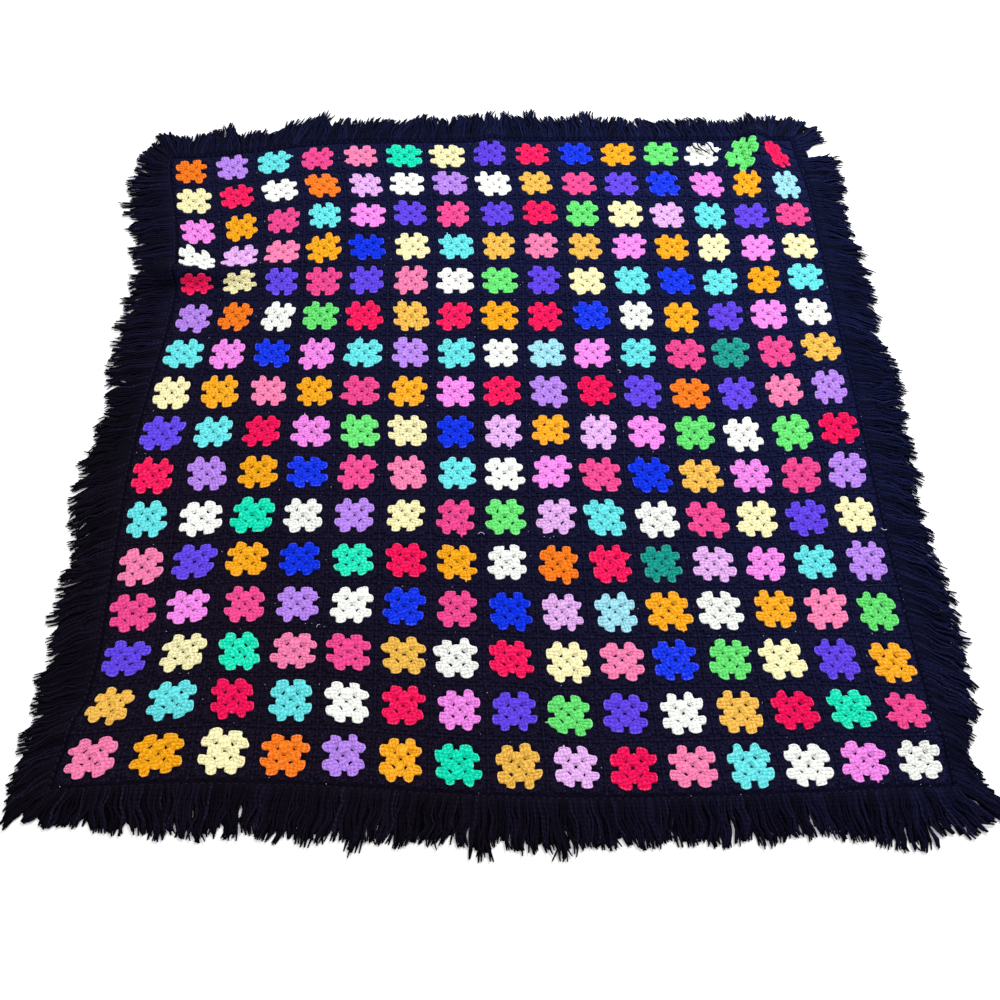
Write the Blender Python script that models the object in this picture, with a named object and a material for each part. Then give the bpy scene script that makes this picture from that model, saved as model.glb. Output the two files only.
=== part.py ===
"""A granny square blanket with a knotted fringe, lying flat.

Fifteen columns and sixteen rows of crocheted squares are joined into one cloth. Each square has a
coloured, raised middle, drawn in halfway along its sides, with a gap at its centre, and a lower
black round that joins it to its neighbours. Along each side of the cloth runs a narrow black
edging, and the locks of the fringe are knotted into it.

Every piece is first laid out flat, at the size it was crocheted, and is then set down on the surface
by drape(), which pulls the cloth a little out of square and raises its few folds.
Metres, +Z up, +Y away from the front fringe, the origin under the middle of the blanket.
"""

import math

import bmesh
import bpy
from mathutils import Matrix, Vector

MM = 0.001

# The squares
COLUMNS = 15
ROWS = 16
PITCH = 76 * MM  # a square with its black round, from join to join
MIDDLE = 54 * MM  # the coloured middle, from corner to corner along a side
DRAWN_IN = 5 * MM  # how far the middle's outline is drawn in halfway along a side
CENTRE_GAP = 5 * MM  # the open ring that a square starts from
CLOTH = 3.2 * MM  # thickness of the black round
PUFF = 1.6 * MM  # how far the middle stands above it

# The edging and the fringe
CLEARANCE = 0.5 * MM  # between the squares and each edging, and between the edgings at the corners
EDGING = 6 * MM  # width of the edging beyond the squares
LOCKS_PER_SQUARE = 4
LOCK_LENGTH = 66 * MM
UNEVEN = 0.12  # share of its length by which a lock may be longer or shorter
LOCK_SECTIONS = (  # shares of the lock's length and of its width at the root
    {"along": 0.55, "width": 0.82, "height": 6.0 * MM},
    {"along": 1.00, "width": 0.38, "height": 2.5 * MM},
)
CORNER_FAN = 42  # degrees that the last lock of a side leans towards the corner
FAN_REACH = 75 * MM  # how far from a corner the locks start to lean

HALF_X = COLUMNS * PITCH / 2
HALF_Y = ROWS * PITCH / 2
SIDES = (  # turn is from the front side, and the leans are in degrees, at a side's two ends
    {"name": "fringe_front", "turn": 0, "half": HALF_X, "edge": HALF_Y, "lean_first": -12, "lean_last": 12},
    {"name": "fringe_right", "turn": 90, "half": HALF_Y, "edge": HALF_X, "lean_first": -34, "lean_last": 2},
    {"name": "fringe_back", "turn": 180, "half": HALF_X, "edge": HALF_Y, "lean_first": 4, "lean_last": -6},
    {"name": "fringe_left", "turn": 270, "half": HALF_Y, "edge": HALF_X, "lean_first": 4, "lean_last": 28},
)
ORIGIN = Vector((-8.5 * MM, 1.7 * MM, 0))  # the flat place that lies above the middle of the finished blanket


def column(number):
    """Distance of a column from the middle, counted from 0 at the left."""
    return (number - (COLUMNS - 1) / 2) * PITCH


def row(number):
    """Distance of a row from the middle, counted from 0 at the back."""
    return ((ROWS - 1) / 2 - number) * PITCH


# Where the cloth is stretched or drawn in. Each pull is strongest at its place, given as a column and
# a row, and fades over its reach, in squares. right and away are how far the cloth has moved there.
PULLS = (
    {"column": 2.5, "row": -0.5, "reach": (6.0, 1.6), "right": -28 * MM, "away": -10 * MM},
    {"column": 13.0, "row": -0.5, "reach": (3.0, 1.6), "right": 10 * MM, "away": 7 * MM},
    {"column": -0.5, "row": 4.3, "reach": (2.4, 3.0), "right": 25 * MM, "away": -3 * MM},
    {"column": -0.5, "row": 8.4, "reach": (1.2, 3.0), "right": -6 * MM, "away": 0},
    {"column": -0.5, "row": 15.7, "reach": (2.2, 1.6), "right": -33 * MM, "away": 0},
    {"column": 12.5, "row": 16.0, "reach": (3.8, 2.2), "right": 16 * MM, "away": 0},
    {"column": 2.0, "row": 15.0, "reach": (3.6, 3.8), "right": 0, "away": 24 * MM},
    {"column": -0.5, "row": 11.5, "reach": (1.6, 3.0), "right": 0, "away": -11 * MM},
    {"column": 14.5, "row": 5.5, "reach": (1.6, 3.0), "right": 0, "away": 17 * MM},
    {"column": 12.0, "row": 8.7, "reach": (2.4, 2.4), "right": 0, "away": -10 * MM},
    {"column": 9.0, "row": 8.8, "reach": (2.6, 3.4), "right": -5 * MM, "away": 2 * MM},
    {"column": 8.8, "row": 12.5, "reach": (3.4, 4.0), "right": 0, "away": -8 * MM},
    {"column": 8.0, "row": 1.5, "reach": (4.0, 2.8), "right": 0, "away": 8 * MM},
    {"column": 14.5, "row": 13.3, "reach": (1.6, 1.6), "right": 3 * MM, "away": -12 * MM},
)

# The folds. A crest runs in from the cloth's edge and dies away at its inner end, both given as a
# column and a row. The cloth on its slack side, left or right of that run, is drawn in by take_up,
# and the crest leans away from the slack side by lean times its height.
FOLDS = (
    {"edge": (-0.7, 3.45), "inner": (3.6, 3.7), "slack": "left",
     "half_width": 56 * MM, "height": 26 * MM, "take_up": 42 * MM, "lean": 0.42},
    {"edge": (13.5, -0.7), "inner": (13.2, 1.4), "slack": "left",
     "half_width": 40 * MM, "height": 17 * MM, "take_up": 18 * MM, "lean": 0.2},
    {"edge": (7.1, -0.7), "inner": (6.9, 0.9), "slack": "right",
     "half_width": 34 * MM, "height": 9 * MM, "take_up": 7 * MM, "lean": 0.0},
    {"edge": (-0.7, 14.4), "inner": (2.4, 13.6), "slack": "right",
     "half_width": 44 * MM, "height": 11 * MM, "take_up": 6 * MM, "lean": 0.0},
    {"edge": (14.7, 14.6), "inner": (12.3, 13.4), "slack": "left",
     "half_width": 44 * MM, "height": 10 * MM, "take_up": 6 * MM, "lean": 0.0},
)
FLAT_BEYOND = 48 * MM  # the fringe has come down to the surface this far beyond the squares


def soft_step(share):
    """0 below 0, 1 above 1, and a soft step between them."""
    share = min(max(share, 0.0), 1.0)
    return share * share * (3 - 2 * share)


def pulled(x, y):
    """How far the pulls have moved the cloth at a flat place."""
    moved = Vector((0, 0, 0))
    for pull in PULLS:
        across = (x - column(pull["column"])) / (pull["reach"][0] * PITCH)
        along = (y - row(pull["row"])) / (pull["reach"][1] * PITCH)
        strength = math.exp(-across * across - along * along)
        moved += strength * Vector((pull["right"], pull["away"], 0))
    return moved


def folded(x, y):
    """How far the folds have moved and raised the cloth at a flat place."""
    moved = Vector((0, 0, 0))
    beyond = max(abs(x) - HALF_X, abs(y) - HALF_Y)
    raised = 1 - soft_step(beyond / FLAT_BEYOND)
    for fold in FOLDS:
        edge = Vector((column(fold["edge"][0]), row(fold["edge"][1])))
        crest = Vector((column(fold["inner"][0]), row(fold["inner"][1]))) - edge
        inwards = crest.normalized()
        slack = Vector((-inwards.y, inwards.x)) * (1 if fold["slack"] == "left" else -1)
        place = Vector((x, y)) - edge
        strength = 1 - soft_step(place.dot(inwards) / crest.length)
        across = place.dot(slack) / fold["half_width"]
        lift = 0.0
        if abs(across) < 1:
            lift = fold["height"] * strength * raised * math.cos(across * math.pi / 2) ** 2
        drawn_in = fold["take_up"] * strength * soft_step((across + 1) / 2)
        moved -= slack.to_3d() * (drawn_in + fold["lean"] * lift)
        moved.z += lift
    return moved


def underside(x, y):
    """Where a point of the flat cloth's underside lies."""
    return Vector((x, y, 0)) + pulled(x, y) + folded(x, y) - ORIGIN


def drape(flat):
    """Sets a point of the flat layout down on the surface, its height measured square to the cloth."""
    step = 1 * MM
    here = underside(flat.x, flat.y)
    rightwards = underside(flat.x + step, flat.y) - here
    away = underside(flat.x, flat.y + step) - here
    return here + rightwards.cross(away).normalized() * flat.z


def finish(name, bm, material):
    """Closes a flat piece up, drapes it, and makes it an object with its material."""
    bmesh.ops.remove_doubles(bm, verts=bm.verts, dist=0.01 * MM)
    bmesh.ops.triangulate(bm, faces=bm.faces)
    bmesh.ops.recalc_face_normals(bm, faces=bm.faces)
    for vertex in bm.verts:
        vertex.co = drape(vertex.co)
    mesh = bpy.data.meshes.new(name)
    bm.to_mesh(mesh)
    bm.free()
    mesh.materials.append(material)
    piece = bpy.data.objects.new(name, mesh)
    bpy.context.scene.collection.objects.link(piece)
    return piece


def yarn(name, colour):
    """A matt acrylic yarn."""
    material = bpy.data.materials.new(name)
    material.diffuse_color = (*colour, 1)
    material.use_nodes = True
    surface = material.node_tree.nodes["Principled BSDF"]
    surface.inputs["Base Color"].default_value = (*colour, 1)
    surface.inputs["Roughness"].default_value = 0.9
    surface.inputs["Metallic"].default_value = 0.0
    return material


def outline(side, centre, height):
    """A closed outline round a centre, made from the points of its first side."""
    points = []
    for quarter in range(4):
        turn = Matrix.Rotation(quarter * math.pi / 2, 3, "Z")
        points += [centre + turn @ Vector((x, y, 0)) + Vector((0, 0, height)) for x, y in side]
    return points


def edge_of(points, quarter):
    """One side of an outline, from its corner to the next one."""
    count = len(points) // 4
    return [points[(quarter * count + step) % len(points)] for step in range(count + 1)]


def band(bm, outer, inner):
    """Faces between two outlines, one to each side."""
    for quarter in range(4):
        face = edge_of(outer, quarter) + edge_of(inner, quarter)[::-1]
        bm.faces.new([bm.verts.new(point) for point in face])


def granny_square(bm, centre):
    """One square: its black round, raised middle and centre gap, above and below."""
    join = [(PITCH / 2, -PITCH / 2)]
    flower = [(MIDDLE / 2, -MIDDLE / 2), (MIDDLE / 2 - DRAWN_IN, 0)]
    ring = [(CENTRE_GAP / 2, -CENTRE_GAP / 2)]
    above = [
        outline(join, centre, CLOTH),
        outline(flower, centre, CLOTH + PUFF),
        outline(ring, centre, CLOTH),
    ]
    below = [outline(join, centre, 0), outline(flower, centre, 0), outline(ring, centre, 0)]
    if not lifted(centre):
        del below[1]  # the underside is flat there, and needs no points below the middle's outline
    for outer, inner in list(zip(above, above[1:])) + list(zip(below, below[1:])):
        band(bm, outer, inner)
    band(bm, above[-1], below[-1])


def lifted(centre):
    """Whether a fold raises any of a square off the surface."""
    reach = (-PITCH / 2, 0, PITCH / 2)
    return any(underside(centre.x + x, centre.y + y).z > CLEARANCE for x in reach for y in reach)


def joined_squares(material):
    """All the squares as one cloth, its edge closed with a point for each lock of the fringe."""
    bm = bmesh.new()
    for across in range(COLUMNS):
        for down in range(ROWS):
            granny_square(bm, Vector((column(across), row(down), 0)))
    bmesh.ops.remove_doubles(bm, verts=bm.verts, dist=0.01 * MM)
    rims = [edge for edge in bm.edges if edge.is_boundary]
    bmesh.ops.subdivide_edges(bm, edges=rims, cuts=LOCKS_PER_SQUARE - 1)
    bmesh.ops.bridge_loops(bm, edges=[edge for edge in bm.edges if edge.is_boundary])
    return finish("granny_squares", bm, material)


def lock_lean(side, place):
    """Degrees that a lock leans along its side: out at the corners, in slow waves between them."""
    half = side["half"] + EDGING
    to_corner = soft_step((abs(place) - half + FAN_REACH) / FAN_REACH)
    share = (place + half) / (2 * half)
    drift = side["lean_first"] * (1 - share) + side["lean_last"] * share
    wave = 6 * math.sin(place * 9 + side["turn"]) + 4 * math.sin(place * 23 + side["turn"])
    return math.copysign(CORNER_FAN * to_corner, place) + (drift + wave) * (1 - to_corner)


def lock_length(side, number):
    """A lock's length, uneven as the yarn was cut."""
    wave = 0.6 * math.sin(number * 2.4 + side["turn"]) + 0.4 * math.sin(number * 0.7 + side["turn"])
    return LOCK_LENGTH * (1 + UNEVEN * wave)


def grow_lock(bm, root, lean, length):
    """Draws one lock out of its root face on the edging, section by section."""
    start = root.calc_center_median()
    width = max(v.co.x for v in root.verts) - min(v.co.x for v in root.verts)
    width *= math.cos(math.radians(lean))  # leaning locks lie closer together
    face = root
    for section in LOCK_SECTIONS:
        face = bmesh.ops.extrude_discrete_faces(bm, faces=[face])["faces"][0]
        # the lock bends over its length: it leaves the edging at less than its full lean
        turn = Matrix.Rotation(math.radians(lean) * (0.7 + 0.3 * section["along"]), 3, "Z")
        middle = start + turn @ Vector((0, -section["along"] * length, 0))
        before = face.calc_center_median()
        for vertex in face.verts:
            aside = math.copysign(section["width"] * width / 2, vertex.co.x - before.x)
            corner = middle + turn @ Vector((aside, 0, 0))
            corner.z = section["height"] if vertex.co.z > before.z else 0
            vertex.co = corner


def fringed_edging(side, material):
    """One side's edging with its locks, made as the front one and turned to its side."""
    locks = LOCKS_PER_SQUARE * round(2 * side["half"] / PITCH)
    near, far = side["edge"] + CLEARANCE, side["edge"] + EDGING
    bm = bmesh.new()
    bmesh.ops.create_grid(bm, x_segments=locks, y_segments=1, size=1)
    for vertex in bm.verts:
        depth = near if vertex.co.y > 0 else far
        # the mitred ends run out with the depth, and stay clear of the next side's
        reach = side["half"] + depth - near
        vertex.co = Vector((vertex.co.x * reach, -depth, 0))
    raised = bmesh.ops.extrude_face_region(bm, geom=list(bm.faces), use_keep_orig=True)["geom"]
    for vertex in (item for item in raised if isinstance(item, bmesh.types.BMVert)):
        vertex.co.z = CLOTH
    roots = [face for face in bm.faces if abs(face.calc_center_median().y + far) < CLEARANCE]
    roots.sort(key=lambda face: face.calc_center_median().x)
    for number, root in enumerate(roots):
        lean = lock_lean(side, root.calc_center_median().x)
        grow_lock(bm, root, lean, lock_length(side, number))
    bmesh.ops.rotate(bm, verts=bm.verts, matrix=Matrix.Rotation(math.radians(side["turn"]), 3, "Z"))
    return finish(side["name"], bm, material)


def main():
    """Clears the scene, and makes the cloth and its four fringed edgings."""
    for leftover in list(bpy.data.objects):
        bpy.data.objects.remove(leftover)
    joined_squares(yarn("squares_yarn", (0.62, 0.20, 0.34)))
    black = yarn("black_yarn", (0.006, 0.005, 0.016))
    for side in SIDES:
        fringed_edging(side, black)


main()
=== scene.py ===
import math
import random

import bmesh
import bpy
import numpy as np
from bpy.props import FloatProperty, FloatVectorProperty, IntProperty, PointerProperty
from mathutils import Matrix, Vector


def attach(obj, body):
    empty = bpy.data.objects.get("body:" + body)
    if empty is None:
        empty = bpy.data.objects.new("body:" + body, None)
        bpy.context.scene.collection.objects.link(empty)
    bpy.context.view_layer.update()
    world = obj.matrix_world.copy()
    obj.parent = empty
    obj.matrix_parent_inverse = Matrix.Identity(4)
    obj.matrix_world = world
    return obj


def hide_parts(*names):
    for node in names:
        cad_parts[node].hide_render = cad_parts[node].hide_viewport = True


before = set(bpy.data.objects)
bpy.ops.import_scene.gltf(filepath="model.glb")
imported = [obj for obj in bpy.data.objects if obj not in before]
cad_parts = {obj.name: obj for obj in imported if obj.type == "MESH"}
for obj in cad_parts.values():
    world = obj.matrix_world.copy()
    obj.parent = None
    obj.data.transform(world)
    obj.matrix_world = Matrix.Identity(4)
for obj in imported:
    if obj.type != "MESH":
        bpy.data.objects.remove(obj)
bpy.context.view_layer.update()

bl_info = {
    "name": "Granny Square Blanket",
    "version": (1, 0, 0),
    "blender": (4, 5, 0),
    "location": "3D View > Sidebar > Blanket",
    "description": "Crochets a blanket of joined granny squares with a knotted fringe",
    "category": "Add Mesh",
}

# The blanket is crocheted flat, around its middle, and is then set down by drape(), which repeats
# the construction's own pulls and folds. Metres, +Z up, +Y away from the front fringe.
MM = 0.001
COLUMNS = 15
ROWS = 16
PITCH = 76 * MM  # a square with its black round, from join to join
CLOTH = 3.2 * MM  # thickness of the black round
EDGING = 6 * MM  # width of the edging beyond the squares
HALF_X = COLUMNS * PITCH / 2
HALF_Y = ROWS * PITCH / 2
ORIGIN = np.array((-8.5 * MM, 1.7 * MM, 0))  # the flat place above the middle of the blanket
FLAT_BEYOND = 48 * MM  # the fringe has come down to the surface this far beyond the squares
HAND_SHIFT = 0.9 * MM  # how far uneven hand tension moves a stitch aside
HAND_RISE = 0.5 * MM  # and how far it lifts one


def column(number):
    """Distance of a column from the middle, counted from 0 at the left."""
    return (number - (COLUMNS - 1) / 2) * PITCH


def row(number):
    """Distance of a row from the middle, counted from 0 at the back."""
    return ((ROWS - 1) / 2 - number) * PITCH


def table(names, *lines):
    """The lines of a table as dictionaries, each value under the name of its column."""
    return tuple(dict(zip(names.split(), line)) for line in lines)


SECTION = "along width height shade"  # what a section of a tube of yarn says


# Where the cloth is stretched or drawn in. Each pull is strongest at its place, given as a column and
# a row, and fades over its reach, in squares. right and away are how far the cloth has moved there.
PULLS = table(
    "column row reach right away",
    (2.5, -0.5, (6.0, 1.6), -28 * MM, -10 * MM),
    (13.0, -0.5, (3.0, 1.6), 10 * MM, 7 * MM),
    (-0.5, 4.3, (2.4, 3.0), 25 * MM, -3 * MM),
    (-0.5, 8.4, (1.2, 3.0), -6 * MM, 0),
    (-0.5, 15.7, (2.2, 1.6), -33 * MM, 0),
    (12.5, 16.0, (3.8, 2.2), 16 * MM, 0),
    (2.0, 15.0, (3.6, 3.8), 0, 24 * MM),
    (-0.5, 11.5, (1.6, 3.0), 0, -11 * MM),
    (14.5, 5.5, (1.6, 3.0), 0, 17 * MM),
    (12.0, 8.7, (2.4, 2.4), 0, -10 * MM),
    (9.0, 8.8, (2.6, 3.4), -5 * MM, 2 * MM),
    (8.8, 12.5, (3.4, 4.0), 0, -8 * MM),
    (8.0, 1.5, (4.0, 2.8), 0, 8 * MM),
    (14.5, 13.3, (1.6, 1.6), 3 * MM, -12 * MM),
)

# The folds. A crest runs in from the cloth's edge and dies away at its inner end, both given as a
# column and a row. The cloth on its slack side, left or right of that run, is drawn in by take_up,
# and the crest leans away from the slack side by lean times its height.
FOLDS = table(
    "edge inner slack half_width height take_up lean",
    ((-0.7, 3.45), (3.6, 3.7), "left", 56 * MM, 26 * MM, 42 * MM, 0.42),
    ((13.5, -0.7), (13.2, 1.4), "left", 40 * MM, 17 * MM, 18 * MM, 0.2),
    ((7.1, -0.7), (6.9, 0.9), "right", 34 * MM, 9 * MM, 7 * MM, 0.0),
    ((-0.7, 14.4), (2.4, 13.6), "right", 44 * MM, 11 * MM, 6 * MM, 0.0),
    ((14.7, 14.6), (12.3, 13.4), "left", 44 * MM, 10 * MM, 6 * MM, 0.0),
)

# The four sides of the fringe: half their length, and how far their edge is from the middle. The angles
# are in degrees: a side's turn from the front side, how far the strands lean at its two ends, and by how
# much its tufts and its single locks lean apart.
SIDES = table(
    "name turn half edge lean_first lean_last tufts locks",
    ("front", 0, HALF_X, HALF_Y, -12, 12, 5, 2),
    ("right", 90, HALF_Y, HALF_X, -34, 2, 9, 3),
    ("back", 180, HALF_X, HALF_Y, 4, -6, 16, 8),
    ("left", 270, HALF_Y, HALF_X, 4, 28, 9, 3),
)
# Each side was trimmed by hand: a place along it, in squares from its middle, has the share of the
# usual length that its strands were left there.
TRIMMED = {
    "front": (
        (-8.2, 0.70), (-6.7, 0.82), (-5.7, 1.16), (-4.7, 0.92), (-3.9, 1.08), (-1.7, 0.98),
        (-0.7, 1.08), (-0.2, 0.93), (0.5, 1.06), (2.0, 0.93), (4.3, 0.97), (4.8, 0.80), (5.4, 1.0),
        (6.3, 1.24), (7.3, 1.0), (8.3, 0.97),
    ),
    "right": (
        (-8.6, 1.10), (-8.1, 0.80), (-7.6, 0.52), (-7.1, 0.88), (-6.4, 1.16), (-5.5, 1.26),
        (-4.7, 1.40), (-4.0, 1.20), (-2.7, 1.0), (-1.4, 1.05), (-0.2, 1.30), (0.6, 1.20),
        (1.8, 1.08), (3.3, 1.12), (4.3, 1.15), (4.9, 0.96), (5.8, 0.90), (6.8, 1.20), (7.45, 1.15),
        (7.6, 0.34), (7.95, 0.34), (8.15, 1.0),
    ),
    "back": (
        (-7.7, 1.10), (-7.1, 1.08), (-6.2, 0.98), (-5.8, 0.70), (-5.2, 0.86), (-4.7, 1.02),
        (-4.2, 0.78), (-3.2, 0.80), (-2.7, 1.0), (-2.2, 1.18), (-1.7, 0.92), (-1.2, 1.15),
        (-0.4, 1.18), (0.3, 1.0), (0.8, 0.92), (1.5, 1.05), (2.8, 0.90), (3.8, 0.90), (4.3, 1.28),
        (4.7, 1.10), (5.3, 0.74), (5.9, 0.80), (6.3, 1.22), (6.8, 0.82), (7.4, 0.78), (7.9, 0.90),
    ),
    "left": (
        (-8.6, 0.90), (-7.7, 1.0), (-7.0, 1.15), (-6.0, 1.30), (-5.3, 1.02), (-4.2, 1.0),
        (-3.7, 1.12), (-2.3, 1.13), (-1.4, 1.22), (-0.7, 0.98), (-0.2, 0.84), (0.3, 1.0),
        (0.8, 1.10), (1.3, 1.28), (2.3, 1.26), (2.9, 1.08), (3.8, 1.07), (4.8, 1.16), (5.8, 1.10),
        (6.5, 1.0), (8.4, 1.0),
    ),
}
LOCKS_PER_SQUARE = 4
KNOTS_PER_LOCK = 2
LOCK_LENGTH = 66 * MM
UNEVEN = 0.12  # share of its length by which a lock may be longer or shorter
# Slow waves along a side, each given by its height and its pace in radians
LEAN_WAVES = ((6, 9), (4, 23))  # of the locks' lean, in degrees and by the metre
LENGTH_WAVES = ((0.6, 2.4), (0.4, 0.7))  # of their length, as shares of UNEVEN and by the lock
CORNER_FAN = 42  # degrees that the last lock of a side leans towards the corner
FAN_REACH = 75 * MM  # how far from a corner the locks start to lean
FAN_WIDER = 0.7  # share by which the strands there are wider, to close the fan
INSET = 0.5 * MM  # from the end of the edging to the first knot's strands
KNOT_WIDTH = 10 * MM  # breadth over which a knot's strands leave it
KNOT_INSIDE = 2.0 * MM  # how far the strands start inside the edging
STRANDS_IN_TUFT = 57  # strands that lean and were cut alike
MIDDLE_LONGER = (1.06, 0.08)  # share of the length in the middle of a lock, and what its sides lose of it
# Every second strand lies on the others. All but shade are in widths of a strand: its own width and height,
# how much narrower it is at its tip, how high it rests, and how much it settles towards its tip. shade is
# painted shade: the lower strands are darker, as in the shade of the upper ones.
UPPER = {"width": 1.02, "narrows": 0.0, "height": 0.85, "shade": 1.0, "rest": 1.1, "settles": 0.315}
LOWER = {"width": 1.50, "narrows": 0.50, "height": 0.70, "shade": 0.48, "rest": 0.4, "settles": 0.0}
STRAND_SHADES = (0.36, 0.68)  # painted shade and highlight: of the darkest strand, and how much lighter the lightest is
UNDERLAY = {"every": 4, "width": 3.0, "length": 0.86}  # the strands that lie flat under the others
# Some strands were thrown back over the squares: in these knots of the back, the upper ones after the
# first few
THROWN_BACK = {
    "side": "back", "knots": (20, 22, 23), "first": 5, "angle": 205, "fanned": 0.3, "above": 6.5 * MM,
}
# What differs from strand to strand, knot to knot and lock to lock lies within these limits
TUFT_CUT = (0.93, 1.04)
LOCK_CUT = (0.95, 1.05)
STRAND_CUT = (0.94, 1.0)
LONG_STRANDS = {"longer": 0.07, "rare": 14}  # the share by which a few are longer, and how rare they are
PINCH = (0.0, 0.5)  # share of their spread that a lock's strands lose towards their tips
SPLAY = 3.5 * MM  # how far a strand's tip may be off its line
CURL_RUN = (36, 60)  # millimetres from one curl of a lock to the next
CURL_DEPTH = (1.0, 3.4)  # millimetres
CURL_SHIFT = 0.5  # radians between the curls of a lock's strands
KINKS = {"depth": (0.3, 1.1), "pace": 1.9}  # a strand's own: millimetres deep, and so many to a curl
KNOT_LEAN = 2.5  # degrees
STRAND_LEAN = 9  # degrees by which a few strands lean further
LEAN_AT_ROOT = 0.7  # share of its lean that a strand already has at its knot
FREED = 2.5  # one part in so many of its length holds a strand straight at its knot
ROOT_RISE = 1.6 * MM  # how high the strands leave their knots
ARCH = 1.2 * MM  # how high a strand may arch over the others

# The yarns, with the number of squares made of each. Yarns of one family are never side by side.
YARNS = table(
    "name family squares colour",
    ("orange", "warm", 6, "F87A14"),
    ("amber", "warm", 20, "F8A810"),
    ("gold", "warm", 10, "F0B94C"),
    ("cream", "pale", 17, "F8F0B8"),
    ("white", "pale", 23, "F6F8F2"),
    ("cherry", "red", 20, "F20A58"),
    ("rose", "red", 19, "EE4690"),
    ("pink", "pink", 13, "F880B0"),
    ("orchid", "pink", 18, "F488E8"),
    ("pale_lilac", "lilac", 9, "E4AEEE"),
    ("lilac", "lilac", 12, "B684EC"),
    ("violet", "lilac", 18, "6040E2"),
    ("royal_blue", "blue", 13, "0430E4"),
    ("light_blue", "blue", 3, "9CDCEC"),
    ("aqua", "green", 19, "64E2E6"),
    ("jade", "green", 6, "06E2B8"),
    ("teal", "green", 2, "049488"),
    ("green", "green", 12, "64E070"),
)
BLACK = "160F22"
PAINTED_LIGHT_NAVY = "131A45"  # painted light: what the black turns to at its back right-hand corner, as a cool light from there shows it
PAINTED_LIGHT_SLOPE = 0.7  # painted light: how much further the black turns towards it a metre to the right or away. In the middle it is halfway
BLACK_SHINE = "302E46"  # painted highlight: where a black strand catches the light
LINT = "B9B6C4"

# Squares whose yarn the maker chose: the four corners and a few between them, by column and row.
CHOSEN = {
    (0, 0): "orange",
    (14, 0): "cherry",
    (0, 15): "pink",
    (14, 15): "white",
    (0, 3): "white",
    (13, 0): "green",
    (14, 10): "cream",
    (7, 7): "cherry",
}
STOCK_POWER = 1.5  # the higher, the likelier it is that the next square is of a yarn with many left

# Squares that the cloth's puckers turn, stretch or narrow, by column and row: a turn in degrees, how
# wide and how tall the square is left, and how far it slants away from the front towards its right.
DRAWN_IN = {
    (13, 0): (-26, 1.02, 1.36, 0),
    (14, 0): (18, 0.66, 1.08, 0),
    (14, 1): (10, 0.76, 1.10, 0),
    (13, 1): (-9, 0.94, 1.04, 0),
    (0, 3): (0, 1.08, 1.16, -0.6),
    (1, 3): (-8, 1.04, 1.10, 0),
    (3, 3): (14, 0.98, 1.00, 0),
    (1, 4): (0, 1.04, 0.90, 0.25),
    (0, 4): (0, 1.00, 0.90, 0),
    (0, 14): (-10, 0.96, 0.90, 0),
    (1, 15): (0, 0.92, 0.98, 0),
}
PLAIN = (0, 1, 1, 0)  # the same for a square that lies as it was made
# How much all squares differ: in place, in their turn in degrees, in the shares by which they are
# stretched and sheared, in their lobes, and in how light their yarn is.
VARIES = {"shift": 1.4 * MM, "turn": 4.5, "stretch": 0.06, "shear": 0.09, "lobes": 0.9}
SQUARE_SHADES = (0.94, 1.06)

# The web's shade, a little below that of the posts, is painted shade between them
WEB = {"top": 3.4 * MM, "depth": 2.0 * MM, "shade": 0.96}  # the yarn between the coloured posts
STRAND_TAPER = (1.0, 1.0, 1.0, 1.05, 1.10, 1.10, 1.00, 0.60)  # widths along a strand
STRAND_WRAPS = 4  # yarn coordinates along a strand
# The black cloth under the rounds. Under the black rounds it is their own black; under the coloured ones it
# is painted shade seen through their gaps, and its low shade darkens it further as painted shade. cells is
# how many it has along a square.
GROUND = {"top": 1.8 * MM, "depth": 1.4 * MM, "shade": 0.7, "cells": 6}
STITCH = 9.0 * MM  # one chain stitch of a join or an edging, from one thin place to the next
JOIN_HEIGHT = 2.3 * MM  # middle of a joining ridge
# Where the stitches of a ridge are thick and where they are thin; the thick ones get a painted highlight
# and the thin ones painted shade
THICK = {"width": 5.2 * MM, "height": 3.2 * MM, "shade": 1.1}
THIN = {"width": 3.4 * MM, "height": 2.2 * MM, "shade": 0.8}
EDGING_CHAINS = (1.6 * MM, 4.2 * MM)  # how far beyond the squares they lie
# Painted shade: the edging's chains are drawn at this share of their shade, darker
EDGING_SHADE = 0.5
KNOT = {"length": 8.6 * MM, "width": 6.0 * MM, "height": 5.0 * MM, "inside": 1.0 * MM, "rise": 3.0 * MM}
# A knot is darker at its ends and paler in its middle: painted shade and highlight
KNOT_SECTIONS = table(
    SECTION,
    (0.00, 0.55, 0.6, 0.8),
    (0.22, 1.00, 1.0, 1.1),
    (0.78, 1.00, 1.0, 1.1),
    (1.00, 0.55, 0.6, 0.8),
)
PAINTED_GAP_SHADE = 0.45  # painted shade: share of a yarn's colour that is left in the gaps
PAINTED_HIGHLIGHT = 0.22  # painted highlight: how far towards white the heads go
GREEN_LIFTS = 0.65  # share of that which only a yarn with much green in it has
PATTERNS = {"fibres": 900, "mottle": 210, "pits": 190}  # to a metre
PIT_RANGE = {"From Min": 0.05, "From Max": 0.50, "To Min": 0.0, "To Max": 1.0}  # from a pit out to its rim
TWIST = {"wraps": 2.6, "plies": 3, "ply_turns": 7.0}  # turns in one width along the yarn, and its plies
WANDER = 0.7  # how far the mottle bends the twist
# How much each pattern counts beside the wraps' own bumps, and how much paler it makes the yarn: the wraps
# and pits paint shade into the grooves of the twist and into small pits, while the fibres and mottle vary
# its tone
RELIEF = {"ply": 0.3, "fibre": 0.4, "mottle": 0.6}
PALER = {"wrap": 0.30, "mottle": 0.6, "fibre": 0.3, "pit": 0.12}
PALE_FROM = 0.80  # the shade at which a yarn starts to be paler than the painted shade of its gaps
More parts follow.
